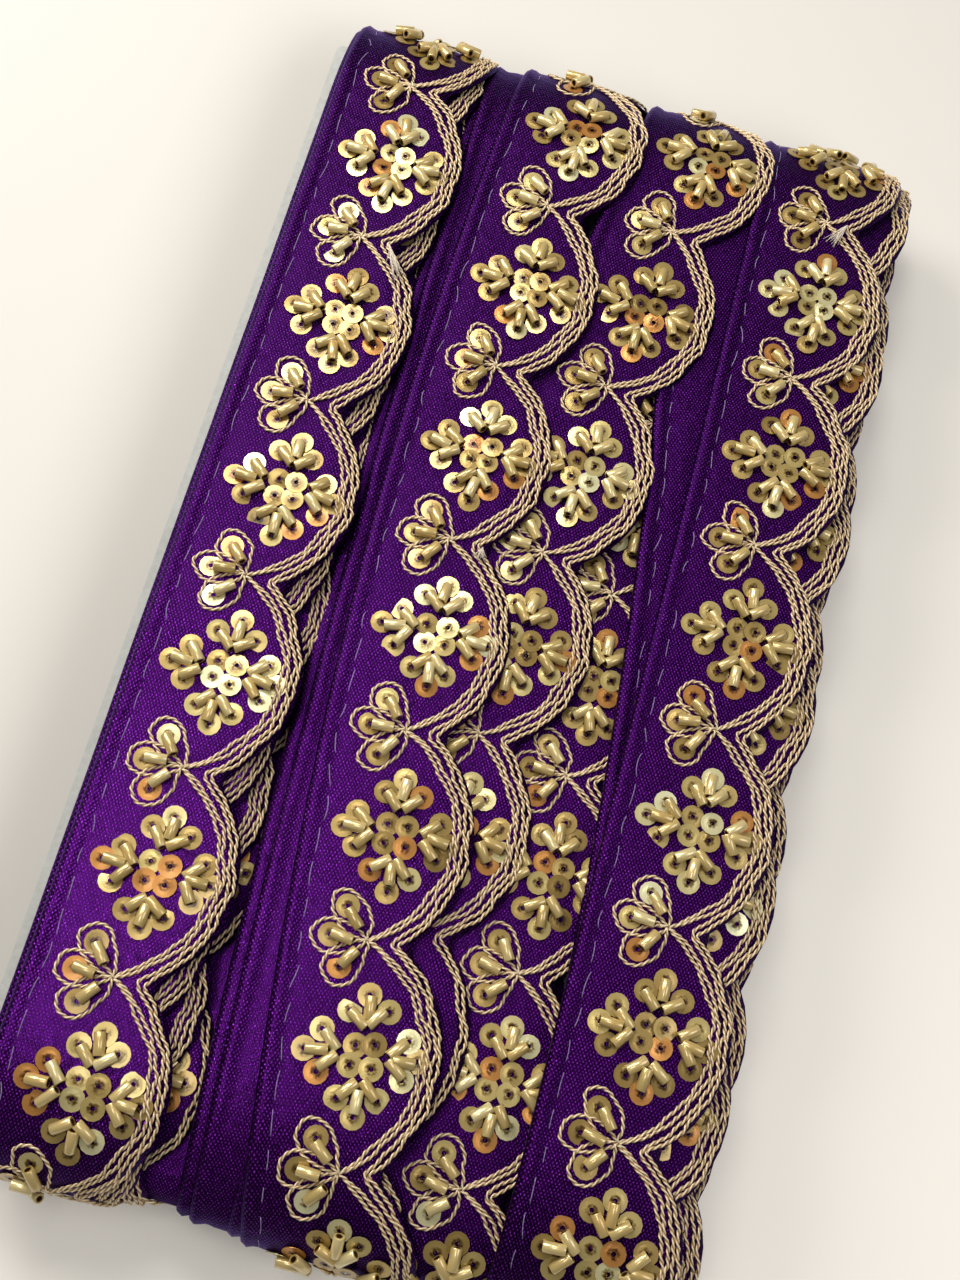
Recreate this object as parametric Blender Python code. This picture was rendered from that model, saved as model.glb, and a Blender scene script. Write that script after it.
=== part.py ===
"""Sequin trim wound lengthwise round a flat card.

One long scalloped trim goes round and round the card, so the front and the
back each show four runs of it side by side, with lower runs in the gaps.
The wound form is one closed solid: a cross profile with the folded edges,
the scallops, the corded rims and the low flowers of every run is carried
once round the card. X runs across the card, +Y is its upper end, Z is up.
"""

import bpy
import bmesh
import numpy as np

MM = 0.001

# Card: a stiff board that shows as a narrow strip at the left edge.
CARD_LEFT = -68.9
CARD_RIGHT = 60.5
CARD_HALF_LENGTH = 123.5
CARD_THICKNESS = 2.0
CARD_CORNER = 1.5
CARD_CORNER_STEPS = 4

# Winding: four layers of trim on each side of the card.
LAYERS = 4
LAYER_THICKNESS = 3.1
CARD_CLEARANCE = 0.3
CARD_END_CLEARANCE = 2.1
WOUND_HALF_LENGTH = 129.0
END_BEND = 26.0
PRESSED_RELIEF = 1.3

# Trim: sizes across one run, measured from the line through its flowers.
PITCH = 40.0
FOLD_EDGE = 17.5
SCALLOP_APEX = 14.0
SCALLOP_RADIUS = 25.0
INNER_CORD_APEX = 11.5
INNER_CORD_RADIUS = 21.6
FLOWER_RADIUS = 11.0
FLOWER_LOBE = 1.5
FLOWER_RELIEF = 1.8
TREFOIL_REACH = 11.5
TREFOIL_SQUEEZE = 1.3
TREFOIL_RELIEF = 1.2
RELIEF_FADE = 1.5
CORD_RELIEF = 1.0

# Mesh: rows along the trim for each repeat, and repeats round the loop.
ROWS_PER_PITCH = 8
FRONT_PITCHES = 7
BACK_PITCHES = 6
WALL_RUN = 0.3
LEAST_STEP = 0.22
SHADING_CORNER = 35

# Cross positions of the columns between the folded edge and the inner cord.
FULL_COLUMNS = (0.17, 0.36, 0.62, 0.86)
LOWER_COLUMNS = (0.5, 0.68, 0.86)
GAP_COLUMNS = (0.12, 0.4, 0.68, 0.92)

# Runs: flower line at the top, middle and bottom of the card, extra offset in
# the middle of the back, place of a flower along the loop (down the front from
# the card's middle), and level in layers at the top, middle and bottom.
RUN_FIELDS = ("top", "middle", "bottom", "back_bow", "flower_at",
              "level_top", "level_middle", "level_bottom")
RUNS = {
    "first": (-46.1, -46.1, -46.1, 0.0, -7.9, 4.0, 4.0, 4.0),
    "under_second": (-15.1, -13.2, -5.4, 2.5, 0.0, 3.1, 2.9, 2.7),
    "second": (-6.6, -10.7, 3.8, 4.0, 13.3, 4.4, 4.2, 4.0),
    "third": (22.6, 7.6, 1.6, 1.0, 9.5, 4.1, 3.2, 3.0),
    "under_third": (24.4, 24.4, 24.4, -1.0, 12.1, 2.7, 2.3, 2.5),
    "fourth": (49.2, 49.5, 48.5, -0.5, -3.8, 3.9, 4.0, 4.0),
    "under_fourth": (54.2, 54.4, 53.6, 0.5, 7.8, 3.0, 3.0, 3.0),
}

# Folded edges of the layers on the left side, from the card outwards:
# place of the fold, and how far it wanders along the trim.
LEFT_FOLDS = ((-65.1, 0.5), (-64.3, 0.6), (-65.4, 0.4), (-63.9, 0.2))
LEFT_GROOVE = -63.2
UNDER_SECOND_FOLD = 0.5

# Scalloped edges of the lower layers on the right side, from the outside in:
# flower line, place of a flower, and level of the edge in layers.
RIGHT_EDGES = ((53.2, -5.0, 2.05), (52.4, 15.0, 1.05))
RIGHT_GROOVE = 59.8
RIGHT_GROOVE_LEVELS = (2.55, 1.55, 0.55)
LEAST_RIGHT_EDGE = 1.2
TUNNEL_RIGHT = 62.0

TUNNEL_HALF_HEIGHT = CARD_THICKNESS / 2 + CARD_CLEARANCE
STACK = LAYERS * LAYER_THICKNESS
OUTER_HALF_HEIGHT = TUNNEL_HALF_HEIGHT + STACK
CARD_LEVEL = OUTER_HALF_HEIGHT + PRESSED_RELIEF
STRAIGHT_HALF = WOUND_HALF_LENGTH - END_BEND
TUNNEL_HALF_LENGTH = CARD_HALF_LENGTH + CARD_END_CLEARANCE

CLOTH = ("purple_cloth", (0.075, 0.012, 0.20), 0.55)
BOARD = ("pale_card", (0.56, 0.62, 0.64), 0.75)


def clear_scene():
    for item in list(bpy.data.objects):
        bpy.data.objects.remove(item, do_unlink=True)


def plain_material(name, colour, roughness):
    material = bpy.data.materials.new(name)
    material.use_nodes = True
    shader = material.node_tree.nodes["Principled BSDF"]
    shader.inputs["Base Color"].default_value = (*colour, 1.0)
    shader.inputs["Roughness"].default_value = roughness
    shader.inputs["Metallic"].default_value = 0.0
    return material


def run(name):
    return dict(zip(RUN_FIELDS, RUNS[name]))


def outer_loop():
    """Arc length, Y and Z of the outermost cloth: straight front and back,
    and an end of half an ellipse over each end of the card."""
    fine = 4000
    turn = np.linspace(0.0, np.pi, fine)
    bend_y = STRAIGHT_HALF + END_BEND * np.sin(turn)
    bend_z = OUTER_HALF_HEIGHT * np.cos(turn)
    y = np.concatenate(([0.0], -bend_y, bend_y, [0.0]))
    z = np.concatenate(([OUTER_HALF_HEIGHT], bend_z, -bend_z, [OUTER_HALF_HEIGHT]))
    length = np.concatenate(([0.0], np.cumsum(np.hypot(np.diff(y), np.diff(z)))))
    return length, y, z


def loop_rows():
    """Arc length of every row. The repeats keep their true pitch over the
    front and share what is left of the loop behind."""
    length, y, z = outer_loop()
    total = length[-1]
    repeats = FRONT_PITCHES + BACK_PITCHES
    rows = np.arange(repeats * ROWS_PER_PITCH)
    half_front = FRONT_PITCHES / 2
    along = np.interp(
        rows / ROWS_PER_PITCH,
        (0.0, half_front, repeats - half_front, repeats),
        (0.0, half_front * PITCH, total - half_front * PITCH, total),
    )
    return rows, np.interp(along, length, y), np.interp(along, length, z)


def by_place(top, middle, bottom, y):
    """A parabola through the values at the two ends and the middle."""
    place = y / WOUND_HALF_LENGTH
    return middle + (top - bottom) / 2 * place + ((top + bottom) / 2 - middle) * place ** 2


class Winding:
    """Rows of the loop, with the places, levels and repeats of the runs."""

    def __init__(self):
        self.rows, self.y, self.z = loop_rows()
        self.behind = np.clip(-self.z / OUTER_HALF_HEIGHT, 0.0, 1.0)
        self.inner_y = self.y * TUNNEL_HALF_LENGTH / WOUND_HALF_LENGTH
        room = np.clip(TUNNEL_HALF_LENGTH - np.abs(self.inner_y), 0.0, TUNNEL_HALF_HEIGHT)
        self.inner_z = room * np.sign(self.z)

    def line(self, name):
        values = run(name)
        x = by_place(values["top"], values["middle"], values["bottom"], self.y)
        bow = 1 - (self.y / WOUND_HALF_LENGTH) ** 2
        return x + values["back_bow"] * self.behind * bow

    def level(self, name):
        values = run(name)
        level = by_place(values["level_top"], values["level_middle"],
                         values["level_bottom"], self.y)
        return np.where(self.z < 0, np.minimum(level, LAYERS), level)

    def along(self, flower_at):
        """Distance along the run from its nearest flower, to the row."""
        step = PITCH / ROWS_PER_PITCH
        first = round(flower_at / step)
        half = ROWS_PER_PITCH // 2
        return ((self.rows - first + half) % ROWS_PER_PITCH - half) * step

    def pressed(self, relief):
        """Relief on the back is pressed flat by what the part rests on."""
        return np.where(self.z < 0, np.minimum(relief, PRESSED_RELIEF), relief)

    def place(self, x, level, relief):
        """Points of one column, from the tunnel outwards through the layers."""
        share = level / LAYERS + self.pressed(relief) / STACK
        y = self.inner_y + (self.y - self.inner_y) * share
        z = self.inner_z + (self.z - self.inner_z) * share
        return np.stack((x, y, z + CARD_LEVEL), axis=1) * MM


def edge_line(apex, radius, along):
    """A scallop: an arc of the radius with its apex at the flower."""
    return apex - (radius - np.sqrt(radius ** 2 - along ** 2))


def relief(along, across):
    """A four-lobed flower at each repeat, a trefoil of loops between two."""
    reach = np.hypot(along, across)
    angle = np.arctan2(across, along)
    rim = FLOWER_RADIUS + FLOWER_LOBE * np.cos(4 * angle)
    flower = FLOWER_RELIEF * np.clip(1 + (rim - reach) / RELIEF_FADE, 0.0, 1.0)
    from_notch = PITCH / 2 - np.abs(along)
    depth = edge_line(INNER_CORD_APEX, INNER_CORD_RADIUS, PITCH / 2) - across
    spread = np.hypot(from_notch * TREFOIL_SQUEEZE, depth)
    trefoil = TREFOIL_RELIEF * np.clip(1 + (TREFOIL_REACH - spread) / RELIEF_FADE, 0.0, 1.0)
    return np.where(depth > 0, np.maximum(flower, trefoil), flower)


def run_columns(winding, name, fractions, floor_left, floor_right):
    """Columns of one run, as rows of x, level and relief: the folded edge,
    the flowers, the inner cord, the corded rim and the drop below it."""
    middle = winding.line(name)
    level = winding.level(name)
    along = winding.along(run(name)["flower_at"])
    inner = edge_line(INNER_CORD_APEX, INNER_CORD_RADIUS, along)
    rim = edge_line(SCALLOP_APEX, SCALLOP_RADIUS, along)
    flat = np.zeros_like(middle)
    columns = []
    if floor_left is not None:
        columns.append((middle - FOLD_EDGE - WALL_RUN, floor_left, flat))
        columns.append((middle - FOLD_EDGE, level, flat))
    for fraction in fractions:
        across = -FOLD_EDGE + fraction * (inner + FOLD_EDGE)
        columns.append((middle + across, level, relief(along, across)))
    columns.append((middle + inner, level, flat + CORD_RELIEF))
    columns.append((middle + rim, level, flat + CORD_RELIEF))
    columns.append((middle + rim + WALL_RUN, floor_right, flat))
    return columns


def left_wall(winding):
    """Folded edges of the layers, with a groove between two of them."""
    flat = np.zeros_like(winding.y)
    columns = [(flat + LEFT_GROOVE, flat, flat)]
    for layer, (fold, wander) in enumerate(LEFT_FOLDS):
        sway = wander * np.sin((layer + 2) * 2 * np.pi * winding.rows / winding.rows.size)
        columns.append((fold + sway, flat + layer + 0.5, flat))
        if layer + 1 < LAYERS:
            columns.append((flat + LEFT_GROOVE, flat + layer + 1, flat))
    return columns


def right_wall(winding):
    """Scalloped edges of the lower layers, down to the card."""
    flat = np.zeros_like(winding.y)
    columns = []
    for groove_level, (middle, flower_at, level) in zip(RIGHT_GROOVE_LEVELS, RIGHT_EDGES):
        along = winding.along(flower_at)
        rim = edge_line(SCALLOP_APEX, SCALLOP_RADIUS, along)
        tip = np.maximum(middle + rim, RIGHT_GROOVE + LEAST_RIGHT_EDGE)
        columns.append((flat + RIGHT_GROOVE, flat + groove_level, flat))
        columns.append((tip, flat + level, flat))
    columns.append((flat + RIGHT_GROOVE, flat + RIGHT_GROOVE_LEVELS[-1], flat))
    columns.append((flat + TUNNEL_RIGHT, flat, flat))
    return columns


def gap_columns(winding, left, right):
    """The lower run that shows between the third run and the fourth."""
    middle = winding.line("under_third")
    level = winding.level("under_third")
    along = winding.along(run("under_third")["flower_at"])
    columns = []
    for fraction in GAP_COLUMNS:
        x = left + fraction * (right - left)
        columns.append((x, level, relief(along, x - middle)))
    return columns


def stop_at(columns, limit):
    """A run that goes under its neighbour ends at the neighbour's edge."""
    kept = []
    for steps, (x, level, raised) in enumerate(reversed(columns)):
        kept.append((np.minimum(x, limit - (steps + 1) * LEAST_STEP), level, raised))
    return kept[::-1]


def push_past(columns):
    """Columns stay in order from left to right where a run lies on the next."""
    kept = [columns[0]]
    for x, level, raised in columns[1:]:
        kept.append((np.maximum(x, kept[-1][0] + LEAST_STEP), level, raised))
    return kept


def wound_columns(winding):
    under_second = winding.level("under_second")
    under_third = winding.level("under_third")
    under_fourth = winding.level("under_fourth")
    third = winding.level("third")
    flat = np.zeros_like(winding.y)

    first = run_columns(winding, "first", FULL_COLUMNS, flat, under_second)[1:]
    second = run_columns(winding, "second", FULL_COLUMNS, under_second, third)
    lower_edge = winding.line("under_second") - FOLD_EDGE
    step = [(lower_edge, under_second - UNDER_SECOND_FOLD, flat),
            (lower_edge + WALL_RUN, under_second, flat)]
    first = stop_at(first, second[0][0] - 2 * LEAST_STEP)
    step = [(np.maximum(x, first[-1][0] + (place + 1) * LEAST_STEP), level, raised)
            for place, (x, level, raised) in enumerate(step)]
    step = stop_at(step, second[0][0])

    third_run = run_columns(winding, "third", LOWER_COLUMNS, None, under_third)
    fourth = run_columns(winding, "fourth", FULL_COLUMNS, under_third, under_fourth)
    between = gap_columns(winding, third_run[-1][0], fourth[0][0])
    last = run_columns(winding, "under_fourth", (), None, flat)[:-1]
    ordered = push_past(second + third_run + between + fourth + last)
    return left_wall(winding) + first + step + ordered + right_wall(winding)


def wound_mesh():
    """Carry the profile round the card and close it through the tunnel."""
    winding = Winding()
    columns = [winding.place(*column) for column in wound_columns(winding)]
    points = np.stack(columns, axis=1)
    row_count, column_count = points.shape[:2]
    row, column = np.meshgrid(np.arange(row_count), np.arange(column_count), indexing="ij")
    next_row = (row + 1) % row_count
    next_column = (column + 1) % column_count
    faces = np.stack((
        row * column_count + column,
        row * column_count + next_column,
        next_row * column_count + next_column,
        next_row * column_count + column,
    ), axis=-1).reshape(-1, 4)
    mesh = bpy.data.meshes.new("wound_trim")
    mesh.from_pydata(points.reshape(-1, 3).tolist(), [], faces.tolist())
    return mesh


def close_and_orient(mesh):
    work = bmesh.new()
    work.from_mesh(mesh)
    bmesh.ops.recalc_face_normals(work, faces=work.faces[:])
    bmesh.ops.triangulate(work, faces=work.faces[:], quad_method="SHORT_EDGE")
    work.to_mesh(mesh)
    work.free()


def make_wound_trim():
    mesh = wound_mesh()
    close_and_orient(mesh)
    trim = bpy.data.objects.new("wound_trim", mesh)
    bpy.context.collection.objects.link(trim)
    mesh.shade_smooth()
    mesh.set_sharp_from_angle(angle=np.radians(SHADING_CORNER))
    mesh.materials.append(plain_material(*CLOTH))


def make_card():
    """A flat board with softened corners, level with the winding's middle."""
    work = bmesh.new()
    bmesh.ops.create_cube(work, size=1.0)
    size = (CARD_RIGHT - CARD_LEFT, 2 * CARD_HALF_LENGTH, CARD_THICKNESS)
    bmesh.ops.scale(work, vec=[value * MM for value in size], verts=work.verts)
    corners = [edge for edge in work.edges
               if abs(edge.verts[0].co.z - edge.verts[1].co.z) > CARD_THICKNESS * MM / 2]
    bmesh.ops.bevel(work, geom=corners, offset=CARD_CORNER * MM,
                    segments=CARD_CORNER_STEPS, affect="EDGES", profile=0.5)
    mesh = bpy.data.meshes.new("card")
    work.to_mesh(mesh)
    work.free()
    card = bpy.data.objects.new("card", mesh)
    bpy.context.collection.objects.link(card)
    card.location = ((CARD_LEFT + CARD_RIGHT) / 2 * MM, 0.0, CARD_LEVEL * MM)
    mesh.materials.append(plain_material(*BOARD))


clear_scene()
make_card()
make_wound_trim()
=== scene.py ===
"""Sequin trim wound on a card: the finish of the part.

Every run of the trim is a cloth sheet laid along the wound form, with its
twisted cords, sequins, bugle beads and stitches as joined meshes. Sizes are
in millimetres until a mesh is written, and the frame is the part's own.
"""

import bpy
import numpy as np
from mathutils import Matrix, Vector


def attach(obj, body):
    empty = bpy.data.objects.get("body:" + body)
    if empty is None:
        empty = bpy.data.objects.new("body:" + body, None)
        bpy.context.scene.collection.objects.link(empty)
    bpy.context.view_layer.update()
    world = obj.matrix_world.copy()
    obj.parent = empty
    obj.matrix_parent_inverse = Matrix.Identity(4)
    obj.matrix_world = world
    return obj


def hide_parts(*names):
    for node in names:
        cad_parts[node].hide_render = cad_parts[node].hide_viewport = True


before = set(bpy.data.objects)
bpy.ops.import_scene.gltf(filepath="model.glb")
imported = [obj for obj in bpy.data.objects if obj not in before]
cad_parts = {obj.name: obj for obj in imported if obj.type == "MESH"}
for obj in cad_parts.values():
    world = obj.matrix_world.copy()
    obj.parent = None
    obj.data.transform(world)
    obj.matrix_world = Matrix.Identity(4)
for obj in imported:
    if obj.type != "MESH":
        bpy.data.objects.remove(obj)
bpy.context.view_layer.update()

MM = 0.001

# Winding, as in the part's own solids.
CARD_LEVEL = 15.0
TUNNEL_HALF_HEIGHT = 1.3
LAYERS = 4
STACK = 12.4
WOUND_HALF_LENGTH = 129.0
TUNNEL_HALF_LENGTH = 125.6
END_BEND = 26.0
PITCH = 40.0
FRONT_PITCHES = 7
BACK_PITCHES = 6
REPEATS = FRONT_PITCHES + BACK_PITCHES
OUTER_HALF_HEIGHT = TUNNEL_HALF_HEIGHT + STACK
STRAIGHT_HALF = WOUND_HALF_LENGTH - END_BEND

# Trim: places across one run, from the line through its flowers.
FOLD_EDGE = -17.5
HEM = 6.5
CLOTH = 0.32
SCALLOP_APEX = 14.0
SCALLOP_RADIUS = 25.0
CLOTH_RIM = 0.5
OUTER_CORDS = (0.36, 1.3)
INNER_APEX = 11.6
INNER_RADIUS = 21.51
INNER_CORDS = (0.0, 0.95)
JUNCTION = -2.0
STITCH_LINE = 3.2
STITCH_LENGTH = 4.4
STITCH_REPEAT = 6.2
STITCH_THREAD = 0.085
STITCH_SHARES = (0.65, 1.15)
STITCH_SWAY = 0.2
STITCH_BOW = 0.16
STITCH_OFF = 0.14
STITCH_ARCH = (0.1, 0.16)

# Cloth's relief: heights, the places of its ridges and their widths.
HEM_SHARES = (1.0, 0.5, 0.12)
HEM_LIFTS = (-0.95, -1.0, -1.0)
FOLD_TURNS = (-50.0, 0.0, 50.0)
FOLD_RADIUS = 0.45
FOLD_DROP = 0.48
FOLD_RIDGE = 1.1
RIDGE_RISE = 0.42
RIDGE_WIDTH = 0.8
PUCKER = 0.1
STITCH_SINK = 0.22
STITCH_WIDTH = 1.1
DRIFT_RISE = 0.12
DRIFT_REACH = 9.0
DRIFT_LINE = -9.0
DRIFT_WIDTH = 4.0
RIM_DROP = 0.75
RIM_FROM = 0.9
RIM_REACH = 0.1
UNDERSIDE = 6
CLOTH_ROWS = 15
CLOTH_ROWS_LOWER = 9
TOP_SHARES = np.concatenate((np.linspace(0.035, 0.17, 5), np.linspace(0.26, 0.9, 6), (1.0,)))
LOWER_SHARES = np.array((0.04, 0.08, 0.2, 0.45, 0.7, 0.9, 1.0))

# Weave. A banded wave of scale s repeats every 2*pi / (20 s) of its
# coordinate, or every 2*pi / (10 s) where its bands slant. Rows of the weave
# are half of its repeat apart.
WEAVE_REPEAT = 1.1
WEAVE_WAVE = 2 * np.pi / (10 * WEAVE_REPEAT)
WARP_CLOSENESS = 1.6
WEAVE_BEND = 2.6
FLECK_CLOSENESS = (0.9, 2.4, 1.0)

# Sewn pieces.
CORD = 0.4
CORD_WAIST = 0.21
CORD_TURN = 3.0
CORD_LIFT = 0.45
CORD_WANDER = ((0.24, 23.0), (0.19, 33.0), (0.13, 77.0))
LOBES = 6
TURN_STEPS = 5.0
PLY_WAVE = 2 * np.pi / (20 * 0.5)
FRONT_STEP = 0.42
LOWER_STEP = 0.6
BACK_STEP = 0.74
SEQUIN = 2.28
SEQUIN_HOLE = 0.46
SEQUIN_THICK = 0.13
SEQUIN_DISH = 0.05
SEQUIN_CORNERS = 13
# The share of sequins and beads given the coppery end of the tone, a painted reflection of a
# warmer, darker room.
COPPERY_REFLECTION = 0.14
BEAD = 1.1
BEAD_BORE = 0.55
BEAD_LENGTH = 4.2
BEAD_ROUNDING = (0.12, 0.16)
BEAD_CORNERS = 9
BEAD_REST = 0.1
CLUSTER = 4.3
PETALS = ((-46.0, 4.9), (0.0, 6.25), (46.0, 4.9))
HOLE_TO_BEAD = 2.3
CENTRE_SEQUIN = 1.85
PETAL_UNDER_CORD = (0.7, 0.2)
SEQUIN_LIFT = 0.42
SEQUIN_STEP = 0.14
LOOP_ANGLE = 50.0
LOOP_LENGTH = 10.4
LOOP_WIDTH = 6.3
LOOP_BEAD = 4.7
LOOP_SEQUIN = 7.0
TEARDROP_SPAN = 1.66
TEARDROP_POINT = 0.7
THREAD = 0.11
THREAD_REACH = 1.7
THREAD_RISE = 0.55
THREAD_WIDTH = 0.05
TUFT_THREAD = 0.11
TUFT_COUNT = 26
CRISP_ANGLE = 42.0
FRAME_RISE = 0.5

# Paths of the cords: their rise over what they cross, and how far it reaches.
INNER_END = (15.0, 5.0)
END_RISE = 0.35
PETAL_RISE = (0.3, 2.6)
HEART_RISE = (0.5, 2.0)
NOTCH_ROUNDS = 3

# How sewn pieces differ: degrees of turn and of lean, each lean with its mean
# and its spread, and tones from 0 to 1. The tones carry painted reflection:
# their drift from flower to flower paints brighter-lit flowers, and their
# pale end paints discs that catch the light.
DIRECTION_SPREAD = 6.0
SEQUIN_LEAN = (0.0, 2.6)
BEAD_LEAN = (3.0, 4.0)
THREAD_LEAN = (0.0, 3.0)
TONE_MIDDLE = 0.42
TONE_SPREAD = 0.17
PAINTED_LIGHT_DRIFT = 0.16
PALEST = 0.84

# Waves of the lying cloth: rise, reach along, and reach across the run.
LONG_WAVE = (0.22, 17.0)
SHORT_WAVE = (0.12, 6.3, 5.0)
WAVE_FADE = (6.0, 12.0)

# The runs, from the left. Those named lower, deep and base lie beneath.
RUN_FIELDS = ("top", "middle", "bottom", "back_bow", "flower_at",
              "level_top", "level_middle", "level_bottom")
RUNS = {
    "first": (-46.1, -46.1, -46.1, 0.0, -7.9, 4.0, 4.0, 4.0),
    "second": (-7.2, -10.0, 4.6, 4.0, 13.3, 4.45, 4.2, 4.05),
    "third": (22.6, 7.6, 1.6, 1.0, 9.5, 4.2, 3.2, 3.0),
    "fourth": (49.2, 49.5, 48.5, -0.5, -3.8, 3.9, 4.0, 4.0),
    "under_second": (-15.1, -13.2, -5.4, 2.5, 0.0, 3.3, 3.0, 2.7),
    "under_third": (24.4, 24.4, 24.4, -1.0, 12.1, 2.3, 2.0, 2.1),
    "under_fourth": (26.0, 45.0, 50.0, 0.0, 2.0, 3.3, 3.1, 2.7),
    "first_lower": (-47.4, -47.6, -47.6, 0.0, 2.4, 3.0, 3.0, 3.0),
    "first_deep": (-45.6, -45.1, -45.6, 0.0, 14.9, 2.0, 2.0, 2.0),
    "first_base": (-44.0, -43.0, -40.0, 0.0, -12.0, 1.15, 1.15, 1.15),
    "second_base": (-17.3, -15.6, -8.0, 0.0, 0.0, 2.4, 2.2, 1.9),
    "second_deep": (-19.0, -19.0, -16.5, 0.0, 0.0, 0.6, 0.6, 0.6),
    "third_base": (19.0, 19.0, 19.0, 0.0, 0.0, 1.5, 1.5, 1.5),
    "fourth_lower": (52.0, 53.2, 51.2, 0.5, 7.8, 3.0, 3.0, 3.0),
    "fourth_deep": (53.2, 53.2, 53.2, 0.5, -5.0, 2.05, 2.05, 2.05),
    "fourth_base": (52.4, 52.4, 52.4, 0.5, 15.0, 1.05, 1.05, 1.05),
}

# One source of chance for the whole scene. The order of its draws is fixed.
chance = np.random.default_rng(41)


def linear(code):
    """An sRGB hex colour as linear red, green, blue and full alpha."""
    channels = np.array([int(code[place:place + 2], 16) for place in (1, 3, 5)]) / 255
    low = channels / 12.92
    high = ((channels + 0.055) / 1.055) ** 2.4
    return (*np.where(channels <= 0.04045, low, high).tolist(), 1.0)


def add(material, kind, links=None, **settings):
    """Add one node, set its sockets and properties, and link its inputs."""
    tree = material.node_tree
    node = tree.nodes.new(kind)
    for name, value in settings.items():
        socket = node.inputs.get(name.replace("_", " "))
        if socket is None:
            setattr(node, name, value)
        else:
            socket.default_value = value
    for name, source in (links or {}).items():
        tree.links.new(source, node.inputs[name])
    return node


def new_material(name):
    """A node material with an empty tree."""
    material = bpy.data.materials.new(name)
    material.use_nodes = True
    material.node_tree.nodes.clear()
    return material


def finish_material(material, shader):
    """Link the shader to the material's surface."""
    output = add(material, "ShaderNodeOutputMaterial")
    material.node_tree.links.new(shader.outputs[0], output.inputs["Surface"])
    return material


def ramp(material, source, stops):
    """A colour ramp through hex colours at the given places."""
    node = add(material, "ShaderNodeValToRGB", {"Fac": source})
    elements = node.color_ramp.elements
    while len(elements) < len(stops):
        elements.new(0.5)
    for element, (place, code) in zip(elements, stops):
        element.position = place
        element.color = linear(code)
    return node.outputs["Color"]


def plain_woven_cloth():
    """Plain-woven filament cloth. Two crossed slanting waves leave staggered
    rows of short threads, and some of them catch the light as bright flecks."""
    material = new_material("plain_woven_purple_cloth")
    uv = add(material, "ShaderNodeUVMap", uv_map="flat").outputs["UV"]
    slants = []
    for way in (1.0, -1.0):
        slanted = add(material, "ShaderNodeMapping", {"Vector": uv},
                      Scale=(WARP_CLOSENESS, way, 1.0))
        slants.append(add(material, "ShaderNodeTexWave", {"Vector": slanted.outputs["Vector"]},
                          wave_type="BANDS", bands_direction="DIAGONAL", Scale=WEAVE_WAVE,
                          Distortion=WEAVE_BEND, Detail=2.0).outputs["Fac"])
    drawn = add(material, "ShaderNodeMapping", {"Vector": uv}, Scale=FLECK_CLOSENESS)
    fleck = add(material, "ShaderNodeTexNoise", {"Vector": drawn.outputs["Vector"]},
                Scale=1.0, Detail=2.0)
    slub = add(material, "ShaderNodeTexNoise", {"Vector": uv}, Scale=0.35, Detail=3.0)
    weave = add(material, "ShaderNodeMath", {0: slants[0], 1: slants[1]}, operation="MULTIPLY")
    rough = add(material, "ShaderNodeMath", {0: weave.outputs[0], 1: fleck.outputs["Fac"]},
                operation="MULTIPLY")
    colour = ramp(material, rough.outputs[0],
                  ((0.0, "#0d0216"), (0.14, "#1c042c"), (0.38, "#46105e"), (0.6, "#8030ac")))
    bump = add(material, "ShaderNodeBump", {"Height": rough.outputs[0]},
               Strength=0.75, Distance=0.0002)
    soft = add(material, "ShaderNodeBump",
               {"Height": slub.outputs["Fac"], "Normal": bump.outputs["Normal"]},
               Strength=0.35, Distance=0.0008)
    shader = add(material, "ShaderNodeBsdfPrincipled",
                 {"Base Color": colour, "Normal": soft.outputs["Normal"]},
                 Roughness=0.34, Metallic=0.6, Specular_IOR_Level=0.5)
    shader.inputs["Specular Tint"].default_value = linear("#ae2cff")
    return finish_material(material, shader)


def attribute(material, name):
    """A number that the mesh keeps for each of its points."""
    return add(material, "ShaderNodeAttribute", attribute_name=name).outputs["Fac"]


def twisted_cord():
    """Two-ply cord of dull gold viscose, with fine filaments. Its colour has
    painted light: a painted highlight on the round of each ply and painted
    shade, brown, in the groove between the plies. Its map goes from 0 to 1
    round the cord, past two plies."""
    material = new_material("twisted_gold_cord")
    uv = add(material, "ShaderNodeUVMap", uv_map="round").outputs["UV"]
    place = add(material, "ShaderNodeTexCoord").outputs["Object"]
    ply = add(material, "ShaderNodeTexWave", {"Vector": uv}, wave_type="BANDS",
              bands_direction="Y", Scale=PLY_WAVE, Phase_Offset=np.pi)
    fibre = add(material, "ShaderNodeTexNoise", {"Vector": place}, Scale=2600.0, Detail=2.0)
    mixed = add(material, "ShaderNodeMath", {0: fibre.outputs["Fac"], 2: ply.outputs["Fac"]},
                operation="MULTIPLY_ADD")
    mixed.inputs[1].default_value = 0.4
    # Painted light: the dark end of this ramp is painted shade in the groove between the plies, and
    # the pale end a painted highlight on their round.
    colour = ramp(material, mixed.outputs[0],
                  ((0.1, "#7a5a3c"), (0.4, "#b39168"), (0.75, "#d6bc92"), (1.0, "#ead8b6")))
    bump = add(material, "ShaderNodeBump", {"Height": mixed.outputs[0]},
               Strength=0.6, Distance=0.0002)
    shader = add(material, "ShaderNodeBsdfPrincipled",
                 {"Base Color": colour, "Normal": bump.outputs["Normal"]},
                 Roughness=0.42, Metallic=0.2, Specular_IOR_Level=0.5)
    return finish_material(material, shader)


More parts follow.
